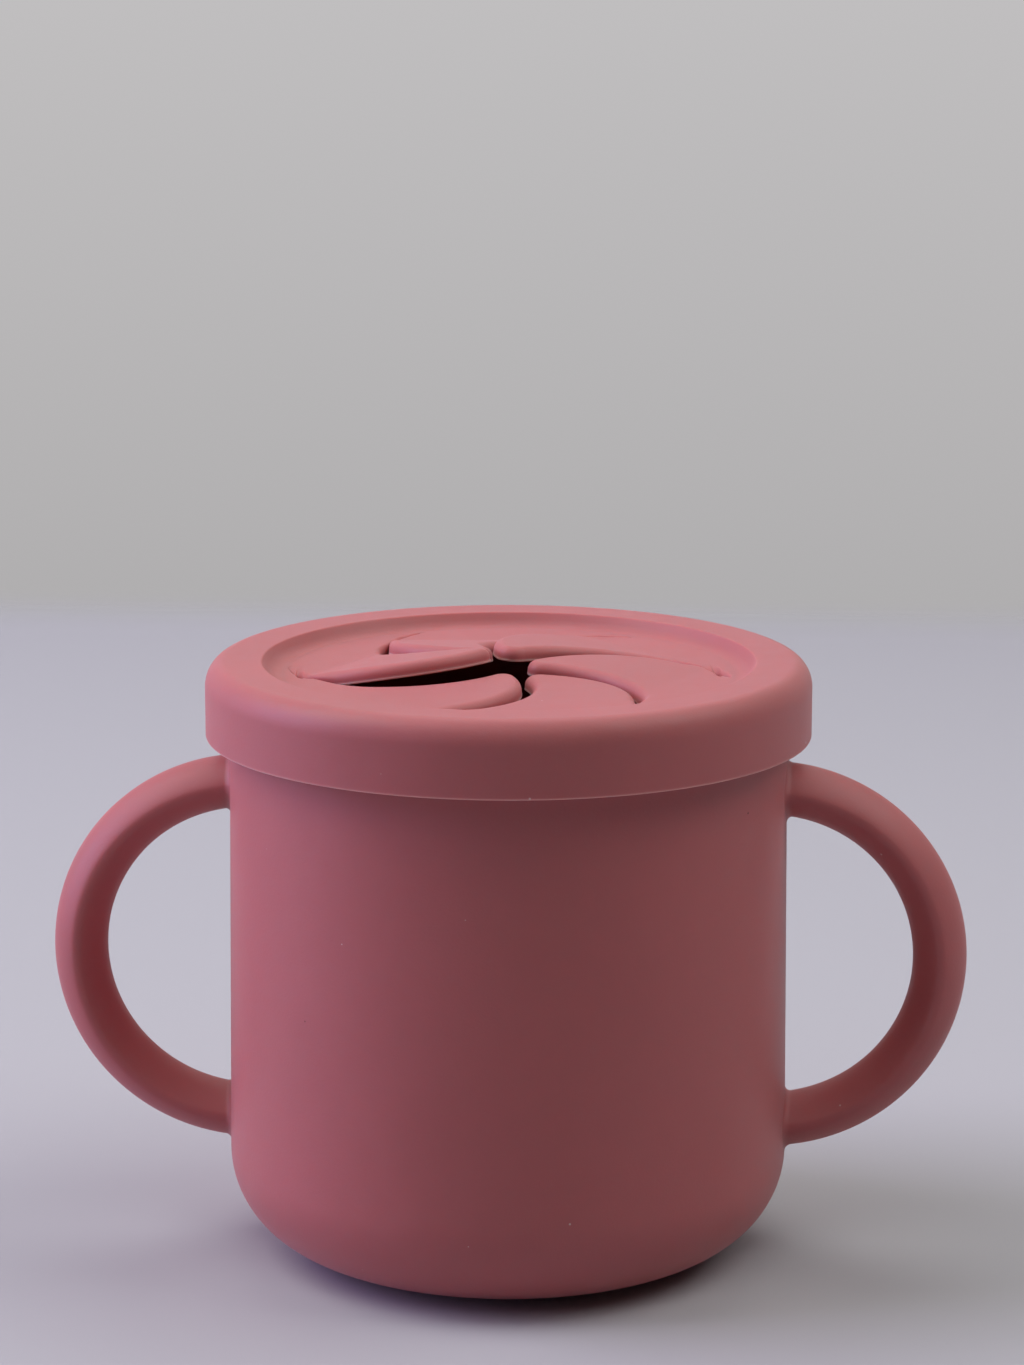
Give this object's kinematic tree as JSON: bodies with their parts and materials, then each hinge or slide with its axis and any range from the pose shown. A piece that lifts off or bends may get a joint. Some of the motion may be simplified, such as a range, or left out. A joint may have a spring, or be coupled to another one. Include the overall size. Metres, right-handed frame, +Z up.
{
  "type": "silicone mug",
  "caption": "Soft upright mug with a ring handle at each side and a push-on lid whose slit, flexible centre lets a small hand reach in.",
  "frame": {"origin": "middle of the foot's underside, on the surface that the mug stands on", "axes": "+Z up along the cup's axis, +X through the right-hand handle, -Y towards the viewer"},
  "size_m": [0.1282, 0.084, 0.0859],
  "materials": {
    "cup_silicone": "matte soft-touch silicone, dusty rose",
    "lid_silicone": "matte soft-touch silicone, dusty rose"
  },
  "bodies": {
    "cup": {"cup_body": "cup_silicone", "left_handle": "cup_silicone", "right_handle": "cup_silicone"},
    "lid": {"lid_rim": "lid_silicone", "lid_membrane": "lid_silicone"},
    "flap_1": {"flap_1": "lid_silicone"},
    "flap_2": {"flap_2": "lid_silicone"},
    "flap_3": {"flap_3": "lid_silicone"},
    "flap_4": {"flap_4": "lid_silicone"},
    "flap_5": {"flap_5": "lid_silicone"},
    "flap_6": {"flap_6": "lid_silicone"}
  },
  "joints": [
    {"name": "lid_lift", "type": "slide", "parent": "cup", "child": "lid", "axis": [0, 0, 1], "range_m": [0, 0.04]},
    {"name": "flap_1_bend", "type": "hinge", "parent": "lid", "child": "flap_1", "pos_m": [0.01942, 0.00943, 0.081], "axis": [-0.4368, 0.8996, 0], "range_deg": [-83, 37], "stiffness_Nm_per_rad": 0.003, "springref_deg": 1.43},
    {"name": "flap_2_bend", "type": "hinge", "parent": "lid", "child": "flap_2", "pos_m": [0.00154, 0.02153, 0.081], "axis": [-0.9974, 0.0715, 0], "range_deg": [-82.5, 37.5], "stiffness_Nm_per_rad": 0.003, "springref_deg": 1.43},
    {"name": "flap_3_bend", "type": "hinge", "parent": "lid", "child": "flap_3", "pos_m": [-0.01787, 0.0121, 0.081], "axis": [-0.5606, -0.8281, 0], "range_deg": [-86, 34], "stiffness_Nm_per_rad": 0.003, "springref_deg": 1.43},
    {"name": "flap_4_bend", "type": "hinge", "parent": "lid", "child": "flap_4", "pos_m": [-0.01942, -0.00943, 0.081], "axis": [0.4368, -0.8996, 0], "range_deg": [-77, 43], "stiffness_Nm_per_rad": 0.003, "springref_deg": 1.43},
    {"name": "flap_5_bend", "type": "hinge", "parent": "lid", "child": "flap_5", "pos_m": [-0.00154, -0.02153, 0.081], "axis": [0.9974, -0.0715, 0], "range_deg": [-75.2, 44.8], "stiffness_Nm_per_rad": 0.003, "springref_deg": 1.43},
    {"name": "flap_6_bend", "type": "hinge", "parent": "lid", "child": "flap_6", "pos_m": [0.01787, -0.0121, 0.081], "axis": [0.5606, 0.8281, 0], "range_deg": [-78.4, 41.6], "stiffness_Nm_per_rad": 0.003, "springref_deg": 1.43}
  ]
}
